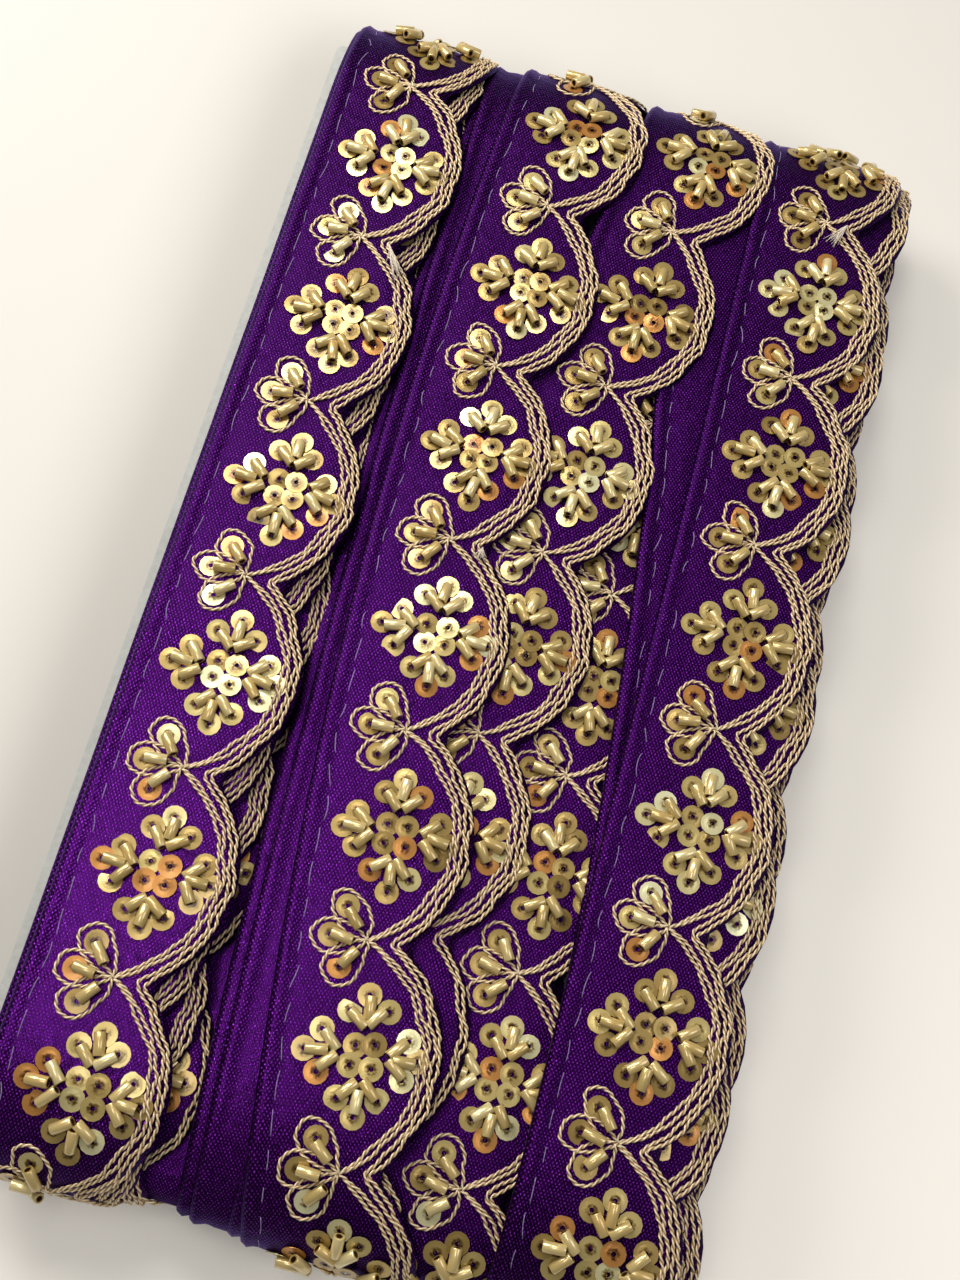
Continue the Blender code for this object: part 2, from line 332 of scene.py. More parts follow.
def sequin_film():
    """Champagne sequin film, stamped and lacquered, crumpled where the punch
    pressed round the hole. Its colour follows the tone: gold in the middle,
    with painted reflection at the ends, pale for a disc that catches the
    light, dark olive for one that mirrors shade, and coppery for one that
    mirrors a warmer, darker room."""
    material = new_material("stamped_gold_sequin_film")
    tone_and_reflection = attribute(material, "tone_and_reflection")
    share = attribute(material, "share")
    place = add(material, "ShaderNodeTexCoord").outputs["Object"]
    grain = add(material, "ShaderNodeTexNoise", {"Vector": place}, Scale=1300.0, Detail=3.0)
    pressed = add(material, "ShaderNodeMapRange", {"Value": share}, From_Min=0.75, From_Max=0.35,
                  To_Min=0.12, To_Max=1.0)
    crumple = add(material, "ShaderNodeMath",
                  {0: grain.outputs["Fac"], 1: pressed.outputs["Result"]}, operation="MULTIPLY")
    # Painted reflection: the tone ramp runs from dark olive, a disc mirroring shade, through gold
    # to pale, a disc catching the light, and past 0.9 to coppery, a disc mirroring a warmer, darker
    # room.
    film = ramp(material, tone_and_reflection, ((0.0, "#8c733c"), (0.4, "#b0965a"), (0.62, "#c6b476"),
                                 (0.84, "#ebe8bc"), (0.9, "#ba8242")))
    spots = ramp(material, crumple.outputs[0], ((0.28, "#ffffff"), (0.5, "#8d7a50"),
                                                (0.62, "#54401c")))
    colour = add(material, "ShaderNodeMix", {6: film, 7: spots}, data_type="RGBA",
                 blend_type="MULTIPLY", Factor=1.0)
    bump = add(material, "ShaderNodeBump", {"Height": crumple.outputs[0]},
               Strength=0.5, Distance=0.00022)
    shader = add(material, "ShaderNodeBsdfPrincipled",
                 {"Base Color": colour.outputs[2], "Normal": bump.outputs["Normal"]},
                 Roughness=0.3, Metallic=0.55, Coat_Weight=0.3, Coat_Roughness=0.12)
    return finish_material(material, shader)


def lined_bead():
    """Silver-lined honey glass: a clear coloured wall over a bright bore, with
    painted shade that darkens the bore and the cut ends round the hole to brown."""
    material = new_material("silver_lined_bugle_glass")
    tone_and_reflection = attribute(material, "tone_and_reflection")
    share = attribute(material, "share")
    # The glass follows the tone attribute, so its drift from flower to flower and its pale end
    # paint brighter-lit beads.
    glass = ramp(material, tone_and_reflection, ((0.0, "#b29a5c"), (0.45, "#cdb577"), (0.85, "#e2d29c"),
                                  (1.0, "#c8ac6a")))
    # Painted shade: dark brown at the bore's radius, inside the hole and on the end faces towards
    # it.
    bore = ramp(material, share, ((0.5, "#5a4424"), (0.8, "#f4e8c8"), (0.9, "#ffffff")))
    colour = add(material, "ShaderNodeMix", {6: glass, 7: bore}, data_type="RGBA",
                 blend_type="MULTIPLY", Factor=1.0)
    shader = add(material, "ShaderNodeBsdfPrincipled", {"Base Color": colour.outputs[2]},
                 Roughness=0.28, Metallic=0.3, Coat_Weight=1.0, Coat_Roughness=0.06,
                 Coat_IOR=1.52)
    return finish_material(material, shader)


def sewing_thread(name, shades):
    """Fine spun thread of two shades, a little fuzzy."""
    material = new_material(name)
    place = add(material, "ShaderNodeTexCoord").outputs["Object"]
    fuzz = add(material, "ShaderNodeTexNoise", {"Vector": place}, Scale=3000.0, Detail=1.0)
    colour = ramp(material, fuzz.outputs["Fac"], ((0.3, shades[0]), (0.7, shades[1])))
    shader = add(material, "ShaderNodeBsdfPrincipled", {"Base Color": colour},
                 Roughness=0.6, Sheen_Weight=0.2)
    return finish_material(material, shader)


def pulp_board():
    """Pale grey pulp board: matt, faintly mottled, with fibre flecks."""
    material = new_material("pale_pulp_board")
    place = add(material, "ShaderNodeTexCoord").outputs["Object"]
    mottle = add(material, "ShaderNodeTexNoise", {"Vector": place}, Scale=60.0, Detail=4.0)
    fibre = add(material, "ShaderNodeTexNoise", {"Vector": place}, Scale=900.0, Detail=3.0)
    mixed = add(material, "ShaderNodeMath",
                {0: mottle.outputs["Fac"], 1: fibre.outputs["Fac"]}, operation="ADD")
    half = add(material, "ShaderNodeMath", {0: mixed.outputs[0]}, operation="MULTIPLY")
    half.inputs[1].default_value = 0.5
    colour = ramp(material, half.outputs[0], ((0.3, "#a9abaa"), (0.6, "#babdbb"), (0.8, "#c8cac8")))
    bump = add(material, "ShaderNodeBump", {"Height": fibre.outputs["Fac"]},
               Strength=0.3, Distance=0.0001)
    shader = add(material, "ShaderNodeBsdfPrincipled",
                 {"Base Color": colour, "Normal": bump.outputs["Normal"]}, Roughness=0.8)
    return finish_material(material, shader)


def studio_floor():
    """Plain pale paper sweep."""
    material = new_material("plain_paper_floor")
    place = add(material, "ShaderNodeTexCoord").outputs["Object"]
    mottle = add(material, "ShaderNodeTexNoise", {"Vector": place}, Scale=4.0)
    colour = ramp(material, mottle.outputs["Fac"], ((0.0, "#bfbdb9"), (1.0, "#c4c2be")))
    shader = add(material, "ShaderNodeBsdfPrincipled", {"Base Color": colour}, Roughness=0.9)
    return finish_material(material, shader)


class Loop:
    """Way round the card: straight over the front and back, with an end of
    half an ellipse over each end of the card, y = straight + bend sin(turn)
    and z = height cos(turn)."""

    def __init__(self):
        turn = np.linspace(0.0, np.pi, 3000)
        bend_y = STRAIGHT_HALF + END_BEND * np.sin(turn)
        bend_z = OUTER_HALF_HEIGHT * np.cos(turn)
        self.y = np.concatenate(([0.0], -bend_y, bend_y, [0.0]))
        self.z = np.concatenate(([OUTER_HALF_HEIGHT], bend_z, -bend_z, [OUTER_HALF_HEIGHT]))
        steps = np.hypot(np.diff(self.y), np.diff(self.z))
        self.length = np.concatenate(([0.0], np.cumsum(steps)))
        self.total = self.length[-1]
        half = FRONT_PITCHES / 2
        self.repeat_at = (0.0, half, REPEATS - half, REPEATS)
        self.along_at = (0.0, half * PITCH, self.total - half * PITCH, self.total)

    def along(self, repeat):
        """Arc length at a place counted in repeats from the front's middle."""
        return np.interp(np.mod(repeat, REPEATS), self.repeat_at, self.along_at)

    def at(self, along):
        """Y, Z and the outward normal of the outermost cloth. The normal is
        the way ahead turned by a right angle."""
        along = np.mod(along, self.total)
        y = np.interp(along, self.length, self.y)
        z = np.interp(along, self.length, self.z)
        step = 0.05
        ahead = np.mod(along + step, self.total)
        behind = np.mod(along - step, self.total)
        dy = np.interp(ahead, self.length, self.y) - np.interp(behind, self.length, self.y)
        dz = np.interp(ahead, self.length, self.z) - np.interp(behind, self.length, self.z)
        size = np.hypot(dy, dz)
        return y, z, dz / size, -dy / size


loop = Loop()


def by_place(top, middle, bottom, y):
    """A parabola through the values at the two ends and the middle."""
    place = y / WOUND_HALF_LENGTH
    return middle + (top - bottom) / 2 * place + ((top + bottom) / 2 - middle) * place ** 2


class Run:
    """One run of the trim, once round the card. Its row of RUNS gives X of
    its flower line at the top, middle and bottom, its bow on the back, its
    first flower's place and the layers beneath it."""

    def __init__(self, name):
        self.name = name
        self.values = dict(zip(RUN_FIELDS, RUNS[name]))
        self.first = self.values["flower_at"] / PITCH
        self.seed = list(RUNS).index(name)

    def line(self, y, z):
        """X of the flower line: a parabola along the card, and a bow on the
        back that is widest in the middle."""
        values = self.values
        x = by_place(values["top"], values["middle"], values["bottom"], y)
        behind = np.clip(-z / OUTER_HALF_HEIGHT, 0.0, 1.0)
        return x + values["back_bow"] * behind * (1 - (y / WOUND_HALF_LENGTH) ** 2)

    def level(self, y, z):
        """Layers beneath the run, and no more than the solids' on the back."""
        values = self.values
        level = by_place(values["level_top"], values["level_middle"], values["level_bottom"], y)
        return np.where(z < 0, np.minimum(level, LAYERS), level)

    def place(self, repeat, across, lift):
        """Points of the run: repeat counts flowers from its first, across is
        measured from the flower line along the cloth, lift stands off it.
        Across is laid off square to the line's slant, and the level moves a
        point from the tunnel of the winding (0) to its outermost cloth (1)."""
        repeat, across, lift = np.broadcast_arrays(repeat, across, lift)
        along = loop.along(self.first + repeat)
        y, z, _, _ = loop.at(along)
        step = 0.5
        y_ahead, z_ahead, _, _ = loop.at(along + step)
        skew = (self.line(y_ahead, z_ahead) - self.line(y, z)) / step
        turn = 1 / np.sqrt(1 + skew ** 2)
        x = self.line(y, z) + across * turn
        y, z, normal_y, normal_z = loop.at(along - skew * turn * across)
        inner_y = y * TUNNEL_HALF_LENGTH / WOUND_HALF_LENGTH
        room = np.clip(TUNNEL_HALF_LENGTH - np.abs(inner_y), 0.0, TUNNEL_HALF_HEIGHT)
        inner_z = room * np.sign(z)
        share = self.level(y, z) / LAYERS
        y = inner_y + (y - inner_y) * share
        z = inner_z + (z - inner_z) * share
        wave = (LONG_WAVE[0] * np.sin(along / LONG_WAVE[1] + self.seed) +
                SHORT_WAVE[0] * np.sin(along / SHORT_WAVE[1] + across / SHORT_WAVE[2]))
        lift = lift + wave * np.clip((z + WAVE_FADE[0]) / WAVE_FADE[1], 0.0, 1.0)
        return np.stack((x, y + normal_y * lift, z + normal_z * lift + CARD_LEVEL), axis=-1)


def edge_line(apex, radius, along):
    """A scallop: an arc of the radius with its apex at the flower, across =
    apex - (radius - sqrt(radius squared - along squared))."""
    return apex - (radius - np.sqrt(radius ** 2 - along ** 2))


def from_flower(repeat):
    """Distance along the run from the nearest flower."""
    return (np.mod(repeat + 0.5, 1.0) - 0.5) * PITCH


def grid_faces(rows, columns, closed_rows=False, closed_columns=False):
    """Quads of a grid of points, row after row, which may close on itself."""
    row = np.arange(rows if closed_rows else rows - 1)[:, None]
    column = np.arange(columns if closed_columns else columns - 1)[None, :]
    next_row = (row + 1) % rows
    next_column = (column + 1) % columns
    corners = (row * columns + column, row * columns + next_column,
               next_row * columns + next_column, next_row * columns + column)
    return np.stack(np.broadcast_arrays(*corners), axis=-1).reshape(-1, 4)


def repeat_faces(faces, copies, points_each):
    """The faces of one shape, for copies whose points follow each other."""
    starts = np.arange(copies)[:, None, None] * points_each
    return (starts + faces[None]).reshape(-1, faces.shape[1])


def make_piece(name, points, faces, material, attributes=None, uv=None, crisp=False):
    """A mesh object from arrays, in place, riding on the root body. Crisp
    pieces keep their sharp rims in the shading."""
    mesh = bpy.data.meshes.new(name)
    points = np.asarray(points, dtype=float).reshape(-1, 3) * MM
    faces = np.asarray(faces).reshape(-1, 4)
    mesh.vertices.add(len(points))
    mesh.vertices.foreach_set("co", points.ravel())
    mesh.loops.add(faces.size)
    mesh.loops.foreach_set("vertex_index", faces.ravel())
    mesh.polygons.add(len(faces))
    mesh.polygons.foreach_set("loop_start", np.arange(0, faces.size, 4))
    mesh.update(calc_edges=True)
    mesh.validate()
    mesh.shade_smooth()
    if crisp:
        mesh.set_sharp_from_angle(angle=np.radians(CRISP_ANGLE))
    for title, values in (attributes or {}).items():
        layer = mesh.attributes.new(title, "FLOAT", "POINT")
        layer.data.foreach_set("value", np.asarray(values, dtype=float).ravel())
    if uv is not None:
        layer = mesh.uv_layers.new(name="flat")
        layer.data.foreach_set("uv", np.asarray(uv, dtype=float).ravel())
    piece = bpy.data.objects.new(name, mesh)
    bpy.context.collection.objects.link(piece)
    mesh.materials.append(material)
    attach(piece, "root")
    return piece


def make_cloth(run, rows_each, share, material):
    """The cloth of one run: a profile from the hem's inner edge, round the
    fold and out to the scalloped edge, carried once round the card. Its
    height is a sum of bells exp(-(distance / width) squared) over the stitch
    line, the ridge by the fold and the drift, and it drops at the rim."""
    rows = REPEATS * rows_each
    repeat = np.arange(rows)[:, None] / rows_each
    rim = edge_line(SCALLOP_APEX + CLOTH_RIM, SCALLOP_RADIUS, from_flower(repeat))
    hem = FOLD_EDGE + HEM * np.array(HEM_SHARES)
    turn = np.radians(np.array(FOLD_TURNS))
    fold = FOLD_EDGE + FOLD_RADIUS - FOLD_RADIUS * np.cos(turn)
    fold_lift = FOLD_RADIUS * np.sin(turn) - FOLD_DROP
    across = np.concatenate((
        np.broadcast_to(np.concatenate((hem, fold)), (rows, UNDERSIDE)),
        FOLD_EDGE + share * (rim - FOLD_EDGE),
    ), axis=1)
    top_lift = -RIM_DROP * np.clip((share - RIM_FROM) / RIM_REACH, 0, 1) ** 2 + 0 * rim
    lift = np.concatenate((
        np.broadcast_to(np.concatenate((HEM_LIFTS, fold_lift)), (rows, UNDERSIDE)),
        top_lift,
    ), axis=1)
    columns = across.shape[1]
    beneath = np.arange(columns) < UNDERSIDE - 1
    above = np.arange(columns) > UNDERSIDE - 1
    pucker = PUCKER * np.sin(repeat * PITCH * 2 * np.pi / STITCH_REPEAT) - STITCH_SINK
    near_stitch = np.exp(-((across - FOLD_EDGE - STITCH_LINE) / STITCH_WIDTH) ** 2)
    near_fold = np.exp(-((across - FOLD_EDGE - FOLD_RIDGE) / RIDGE_WIDTH) ** 2)
    near_drift = np.exp(-((across - DRIFT_LINE) / DRIFT_WIDTH) ** 2)
    drift = DRIFT_RISE * np.sin(repeat * PITCH / DRIFT_REACH + run.seed) * near_drift
    lift = lift + pucker * near_stitch + RIDGE_RISE * near_fold * above + drift
    points = run.place(repeat + 0 * across, across, lift)
    u = across - np.where(beneath, 2 * (across - FOLD_EDGE), 0)
    v = np.broadcast_to(repeat * PITCH, across.shape)
    faces = grid_faces(rows, columns, closed_rows=True)
    flat = np.stack((u, v), axis=-1).reshape(-1, 2)[faces]
    flat[-(columns - 1):, 2:, 1] += REPEATS * PITCH
    return make_piece(f"{run.name}_cloth", points, faces, material, uv=flat)


def teardrop(turns, length, width):
    """A loop with its point at the start: along = length (1 - cos) / 2 and
    beside = width / 1.66 sin(turns) sin(half of turns) to the 0.7, where
    1.66 is the widest place of the rest of the product."""
    beside = width / TEARDROP_SPAN * np.sin(turns) * np.sin(turns / 2) ** TEARDROP_POINT
    return length * (1 - np.cos(turns)) / 2, beside


def even_steps(path, spacing, closed=False):
    """The same path with points at an even spacing. path has points in rows."""
    if closed:
        path = np.vstack((path, path[:1]))
    gaps = np.linalg.norm(np.diff(path, axis=0), axis=1)
    length = np.concatenate(([0.0], np.cumsum(gaps)))
    count = max(int(round(length[-1] / spacing)), 4)
    at = np.linspace(0.0, length[-1], count + 1)
    if closed:
        at = at[:-1]
    return np.stack([np.interp(at, length, path[:, axis]) for axis in range(path.shape[1])], axis=1)


def twist_tubes(centres, sides, normals, closed):
    """Tubes of a two-lobed profile, radius = waist + (full - waist) (1 + cos
    of twice the angle) / 2, that turns with the length by a whole number of
    half turns, so that ends meet. centres has the shape (copies, points, 3)."""
    ahead = np.roll(centres, -1, axis=1) if closed else np.concatenate(
        (centres[:, 1:], centres[:, -1:]), axis=1)
    gaps = np.linalg.norm(ahead - centres, axis=2)
    length = np.cumsum(gaps, axis=1) - gaps
    total = np.sum(gaps, axis=1, keepdims=True)
    loosest = TURN_STEPS * np.median(gaps)
    half_turns = np.round(2 * total / max(CORD_TURN, loosest))
    twist = np.pi * half_turns * length / total
    spoke = np.arange(LOBES) * 2 * np.pi / LOBES
    lobe = 0.5 + 0.5 * np.cos(2 * spoke)
    radius = CORD_WAIST + (CORD - CORD_WAIST) * lobe
    angle = twist[..., None] + spoke
    return (centres[:, :, None] +
            (radius * np.cos(angle))[..., None] * sides[:, :, None] +
            (radius * np.sin(angle))[..., None] * normals[:, :, None])


def tube_faces(copies, points, closed, sides=LOBES):
    """Quads of tubes with four or six sides, facing outwards, and capped
    where they are open."""
    body = grid_faces(points, sides, closed_rows=closed, closed_columns=True)
    if not closed:
        cap = np.array(((0, 1, 2, 3), (0, 3, 4, 5)))[:sides // 2 - 1]
        body = np.vstack((body, cap[:, ::-1], cap + (points - 1) * sides))
    return repeat_faces(body[:, ::-1], copies, points * sides)


def thin_tubes(centres, side, normal, radius):
    """Four-sided tubes along paths, for fine threads."""
    spoke = np.arange(4) * np.pi / 2
    return centres[:, :, None] + radius * (
        np.cos(spoke)[:, None] * side[:, :, None] + np.sin(spoke)[:, None] * normal[:, :, None])


def frames(centres, lifted, closed):
    """Side and normal directions along paths that lie on the cloth: the
    normal is the way to the lifted path, made square to the path."""
    if closed:
        tangent = np.roll(centres, -1, axis=1) - np.roll(centres, 1, axis=1)
    else:
        tangent = np.gradient(centres, axis=1)
    tangent /= np.linalg.norm(tangent, axis=2, keepdims=True)
    normal = lifted - centres
    normal -= tangent * np.sum(normal * tangent, axis=2, keepdims=True)
    normal /= np.linalg.norm(normal, axis=2, keepdims=True)
    return np.cross(tangent, normal), normal


class CordBag:
    """Collects the twisted cords of one run into one mesh."""

    def __init__(self, run):
        self.run = run
        self.points = []
        self.faces = []
        self.rounds = []
        self.count = 0

    def lay(self, path, flowers, closed=False):
        """Lay one path, given as along, across and lift from its flower, at
        every flower in the list."""
        copies = len(flowers)
        if not copies:
            return
        along, across, lift = path.T
        repeat = np.asarray(flowers, dtype=float)[:, None] + along[None] / PITCH
        own = chance.uniform(0, 6.0)
        slow, quick, quickest = (
            sway * np.sin(repeat * pace + start)
            for (sway, pace), start in zip(CORD_WANDER, (self.run.seed, own, 2 * own)))
        wander = slow + quick + quickest
        centres = self.run.place(repeat, across[None] + wander, lift[None])
        lifted = self.run.place(repeat, across[None] + wander, lift[None] + FRAME_RISE)
        side, normal = frames(centres, lifted, closed)
        rings = twist_tubes(centres, side, normal, closed)
        faces = tube_faces(copies, centres.shape[1], closed)
        columns = faces % LOBES
        wrapped = np.where((columns == 0) & (columns.max(axis=1, keepdims=True) == LOBES - 1),
                           LOBES, columns)
        self.points.append(rings.reshape(-1, 3))
        self.rounds.append(wrapped / LOBES)
        self.faces.append(faces + self.count)
        self.count += rings.size // 3

    def piece(self, material):
        """The mesh of all the cords laid, with its map round the cord."""
        faces = np.vstack(self.faces)
        piece = make_piece(f"{self.run.name}_cords", np.vstack(self.points), faces, material)
        layer = piece.data.uv_layers.new(name="round")
        rounds = np.vstack(self.rounds).ravel()
        layer.data.foreach_set("uv", np.stack((0 * rounds, rounds), axis=-1).ravel())
        return piece


def outer_path(offset, step):
    """A cord from one scallop's apex to the next, set in from the cloth's
    edge by the offset: two arcs, and a small round in the notch between."""
    reach = np.arcsin(PITCH / 2 / SCALLOP_RADIUS)
    swing = np.linspace(0.0, reach, 60)
    inner = SCALLOP_RADIUS - offset
    middle = SCALLOP_APEX - SCALLOP_RADIUS
    first = np.stack((inner * np.sin(swing), middle + inner * np.cos(swing)), axis=1)
    notch = np.array((PITCH / 2, edge_line(SCALLOP_APEX, SCALLOP_RADIUS, PITCH / 2)))
    corner = np.linspace(-reach, reach, 12)[1:-1]
    corner = notch + offset * np.stack((np.sin(corner), -np.cos(corner)), axis=1)
    second = first[::-1] * (-1, 1) + (PITCH, 0)
    path = even_steps(np.vstack((first, corner, second)), step)
    for _ in range(NOTCH_ROUNDS):
        path[1:-1] = (path[:-2] + 2 * path[1:-1] + path[2:]) / 4
    return np.column_stack((path, np.full(len(path), CORD_LIFT)))


def lay_cords(run, flowers, inner, trefoils, step, bag):
    """The outer pair of cords with its notches, the inner pair from trefoil
    to trefoil, and the three loops of each trefoil, each where it shows."""
    for offset in OUTER_CORDS:
        bag.lay(outer_path(offset, step), flowers)
    for offset in INNER_CORDS:
        bag.lay(inner_path(offset, step), inner)
    for degrees in (-LOOP_ANGLE, 0.0, LOOP_ANGLE):
        bag.lay(loop_path(degrees, step), trefoils, closed=True)


def inner_path(offset, step):
    """A cord from one trefoil's heart to the next, inside the scallop: an
    arc, set in by the offset except near its ends, where it rises, as it does
    over the flower's petal."""
    along = np.linspace(-PITCH / 2, PITCH / 2, 120)
    across = edge_line(INNER_APEX, INNER_RADIUS, along)
    slope = -along / np.sqrt(INNER_RADIUS ** 2 - along ** 2)
    turn = np.sqrt(1 + slope ** 2)
    near_end = np.clip((np.abs(along) - INNER_END[0]) / INNER_END[1], 0.0, 1.0)
    spread = offset * (1 - near_end ** 2)
    over_petal = PETAL_RISE[0] * np.exp(-(along / PETAL_RISE[1]) ** 2)
    path = np.stack((along + spread * slope / turn, across - spread / turn,
                     CORD_LIFT + END_RISE * near_end + over_petal), axis=1)
    return even_steps(path, step)


def turned(along, across, degrees):
    """Turn a pair from a loop's axis to the run: zero points to the fold."""
    angle = np.radians(degrees)
    return (-along * np.sin(angle) + across * np.cos(angle),
            -along * np.cos(angle) - across * np.sin(angle))


def loop_path(degrees, step):
    """One loop of a trefoil, its axis turned from the way to the fold. It
    rises towards the trefoil's heart."""
    turns = np.linspace(0.0, 2 * np.pi, 90, endpoint=False)
    out, beside = teardrop(turns, LOOP_LENGTH, LOOP_WIDTH)
    along, across = turned(out, beside, degrees)
    near_heart = HEART_RISE[0] * np.exp(-(out / HEART_RISE[1]) ** 2)
    path = np.stack((along + PITCH / 2, JUNCTION + across, CORD_LIFT + near_heart), axis=1)
    return even_steps(path, step, closed=True)


def motif_places():
    """Places of one repeat's sequins and beads, as rows of along, across,
    direction in degrees and lift. Zero degrees points along the run."""
    sequins = []
    beads = []
    for side in range(4):
        direction = 90.0 * side
        heading = np.radians(direction)
        heart = CLUSTER * np.array((np.cos(heading), np.sin(heading)))
        for order, (lean, out) in enumerate(PETALS):
            way = np.radians(direction + lean)
            step = np.array((np.cos(way), np.sin(way)))
            under_cord = side == 1 and lean == 0
            out = out - PETAL_UNDER_CORD[0] * under_cord
            beads.append((*(heart + (out - HOLE_TO_BEAD) * step), direction + lean,
                          SEQUIN_LIFT + BEAD + BEAD_REST))
            sequins.append((*(heart + out * step), direction + lean,
                            SEQUIN_LIFT + SEQUIN_STEP * (order % 2) -
                            PETAL_UNDER_CORD[1] * under_cord))
    for place, (along, across) in enumerate(((-1, -1), (1, -1), (1, 1), (-1, 1))):
        sequins.append((along * CENTRE_SEQUIN, across * CENTRE_SEQUIN, 90.0 * place - 135.0,
                        SEQUIN_LIFT + SEQUIN_STEP * (place + 1)))
    flower = (np.array(sequins), np.array(beads))
    sequins = []
    beads = []
    for degrees in (-LOOP_ANGLE, 0.0, LOOP_ANGLE):
        along, across = turned(LOOP_BEAD, 0.0, degrees)
        beads.append((along + PITCH / 2, JUNCTION + across,
                      np.degrees(np.arctan2(across, along)), SEQUIN_LIFT + BEAD + BEAD_REST))
        along, across = turned(LOOP_SEQUIN, 0.0, degrees)
        sequins.append((along + PITCH / 2, JUNCTION + across,
                        np.degrees(np.arctan2(across, along)), SEQUIN_LIFT))
    return flower, (np.array(sequins), np.array(beads))


def ring_shape(radii, heights, corners):
    """A closed turned ring: the profile of radii and heights, spun. Also
    gives each point its radius as a share of the largest."""
    angle = np.arange(corners) * 2 * np.pi / corners
    radii = np.asarray(radii)[None, :]
    x = radii * np.cos(angle)[:, None]
    y = radii * np.sin(angle)[:, None]
    z = np.asarray(heights)[None, :] + 0 * x
    points = np.stack((x, y, z), axis=-1).reshape(-1, 3)
    faces = grid_faces(corners, radii.shape[1], closed_rows=True, closed_columns=True)
    share = np.broadcast_to(radii / radii.max(), x.shape).ravel()
    return points, faces, share


def sequin_shape():
    """A flat stamped sequin with its hole."""
    return ring_shape((SEQUIN_HOLE, SEQUIN, SEQUIN, SEQUIN_HOLE),
                      (0.0, SEQUIN_DISH, SEQUIN_DISH - SEQUIN_THICK, -SEQUIN_THICK),
                      SEQUIN_CORNERS)


def bead_shape():
    """A cut tube of glass, lying along its X, with its bore and soft ends."""
    half = BEAD_LENGTH / 2
    inset, back = BEAD_ROUNDING
    points, faces, share = ring_shape(
        (BEAD_BORE, BEAD - inset, BEAD, BEAD, BEAD - inset, BEAD_BORE),
        (half, half, half - back, back - half, -half, -half), BEAD_CORNERS)
    return points[:, [2, 0, 1]], faces, share


def thread_shape():
    """A thread that rises from a sequin's hole and runs back into its bead:
    a four-sided tube along the arch rise sin(0.85 pi place), as a grid closed
    round its profile."""
    place = np.linspace(0.0, 1.0, 5)[:, None]
    spoke = np.arange(4)[None, :] * np.pi / 2
    x = -THREAD_REACH * place + THREAD_WIDTH * np.cos(spoke)
    y = THREAD * np.sin(spoke) + 0 * place
    z = THREAD_RISE * np.sin(np.pi * place * 0.85) + THREAD * np.cos(spoke)
    points = np.stack(np.broadcast_arrays(x, y, z), axis=-1).reshape(-1, 3)
    faces = grid_faces(5, 4, closed_columns=True)
    caps = np.array(((3, 2, 1, 0), (16, 17, 18, 19)))
    return points, np.vstack((faces, caps)), np.ones(len(points))


def scatter(run, name, shape, places, flowers, material, jitter, lean):
    """Copies of a shape at the places of every repeat, each a little off and
    tipped, standing on the cloth. A copy's directions are forward, side and
    normal of the cloth there, turned by its tip and then by its roll."""
    points, faces, share = shape
    flowers = np.asarray(flowers, dtype=float)
    copies = len(flowers) * len(places)
    if copies == 0:
        return None
    along, across, direction, lift = (np.tile(column, len(flowers)) for column in places.T)
    repeat = np.repeat(flowers, len(places))
    along = along + chance.normal(0, jitter, copies)
    across = across + chance.normal(0, jitter, copies)
    direction = np.radians(direction + chance.normal(0, DIRECTION_SPREAD, copies))
    base = run.place(repeat + along / PITCH, across, lift)
    step = 0.4
    ahead = run.place(repeat + (along + step) / PITCH, across, lift) - base
    beside = run.place(repeat + along / PITCH, across + step, lift) - base
    ahead /= np.linalg.norm(ahead, axis=1, keepdims=True)
    normal = np.cross(beside, ahead)
    normal /= np.linalg.norm(normal, axis=1, keepdims=True)
    beside = np.cross(ahead, normal)
    beside *= np.sign(beside[:, :1] + 1e-9)
    forward = np.cos(direction)[:, None] * ahead + np.sin(direction)[:, None] * beside
    tip = np.radians(lean[0] + chance.normal(0, lean[1], copies))[:, None]
    roll = np.radians(chance.normal(0, lean[1], copies))[:, None]
    side = np.cross(normal, forward)
    forward, normal = (np.cos(tip) * forward + np.sin(tip) * normal,
                       np.cos(tip) * normal - np.sin(tip) * forward)
    side, normal = (np.cos(roll) * side + np.sin(roll) * normal,
                    np.cos(roll) * normal - np.sin(roll) * side)
    spread = (points[None, :, 0:1] * forward[:, None] + points[None, :, 1:2] * side[:, None] +
              points[None, :, 2:3] * normal[:, None])
    placed = base[:, None] + spread
    # Painted light: the wave from flower to flower paints brighter-lit and darker flowers, and the
    # coppery share and the pale end of the tone paint reflection.
    lit = PAINTED_LIGHT_DRIFT * np.sin(repeat * 2.3 + run.seed * 1.9)
    tone_and_reflection = np.clip(TONE_MIDDLE + lit + chance.normal(0, TONE_SPREAD, copies), 0.0, PALEST)
    tone_and_reflection = np.where(chance.uniform(0, 1, copies) < COPPERY_REFLECTION, 1.0, tone_and_reflection)
    return make_piece(f"{run.name}_{name}", placed, repeat_faces(faces, copies, len(points)),
                      material, {"tone_and_reflection": np.repeat(tone_and_reflection, len(points)),
                                            "share": np.tile(share, copies)}, crisp=True)


def sew_motifs(run, flowers, trefoils, threaded, materials):
    """The sequins and beads of the run's flowers and trefoils. A run without
    trefoils lies deep, and only its flowers' outer halves show."""
    flower, trefoil = motif_places()
    if not trefoils:
        flower = [rows[rows[:, 1] > 0] for rows in flower]
    for name, shape, which, where, slot_name, jitter, lean in (
            ("sequins", sequin_shape(), 0, flowers, "gold_sequin", 0.2, SEQUIN_LEAN),
            ("beads", bead_shape(), 1, flowers, "gold_bead", 0.18, BEAD_LEAN),
            ("threads", thread_shape(), 0, threaded, "lilac_thread", 0.1, THREAD_LEAN)):
        material = materials[name]
        scatter(run, f"flower_{name}", shape, flower[which], where, material,
                jitter, lean)
        if trefoils:
            scatter(run, f"trefoil_{name}", shape, trefoil[which], where, material,
                    jitter, lean)


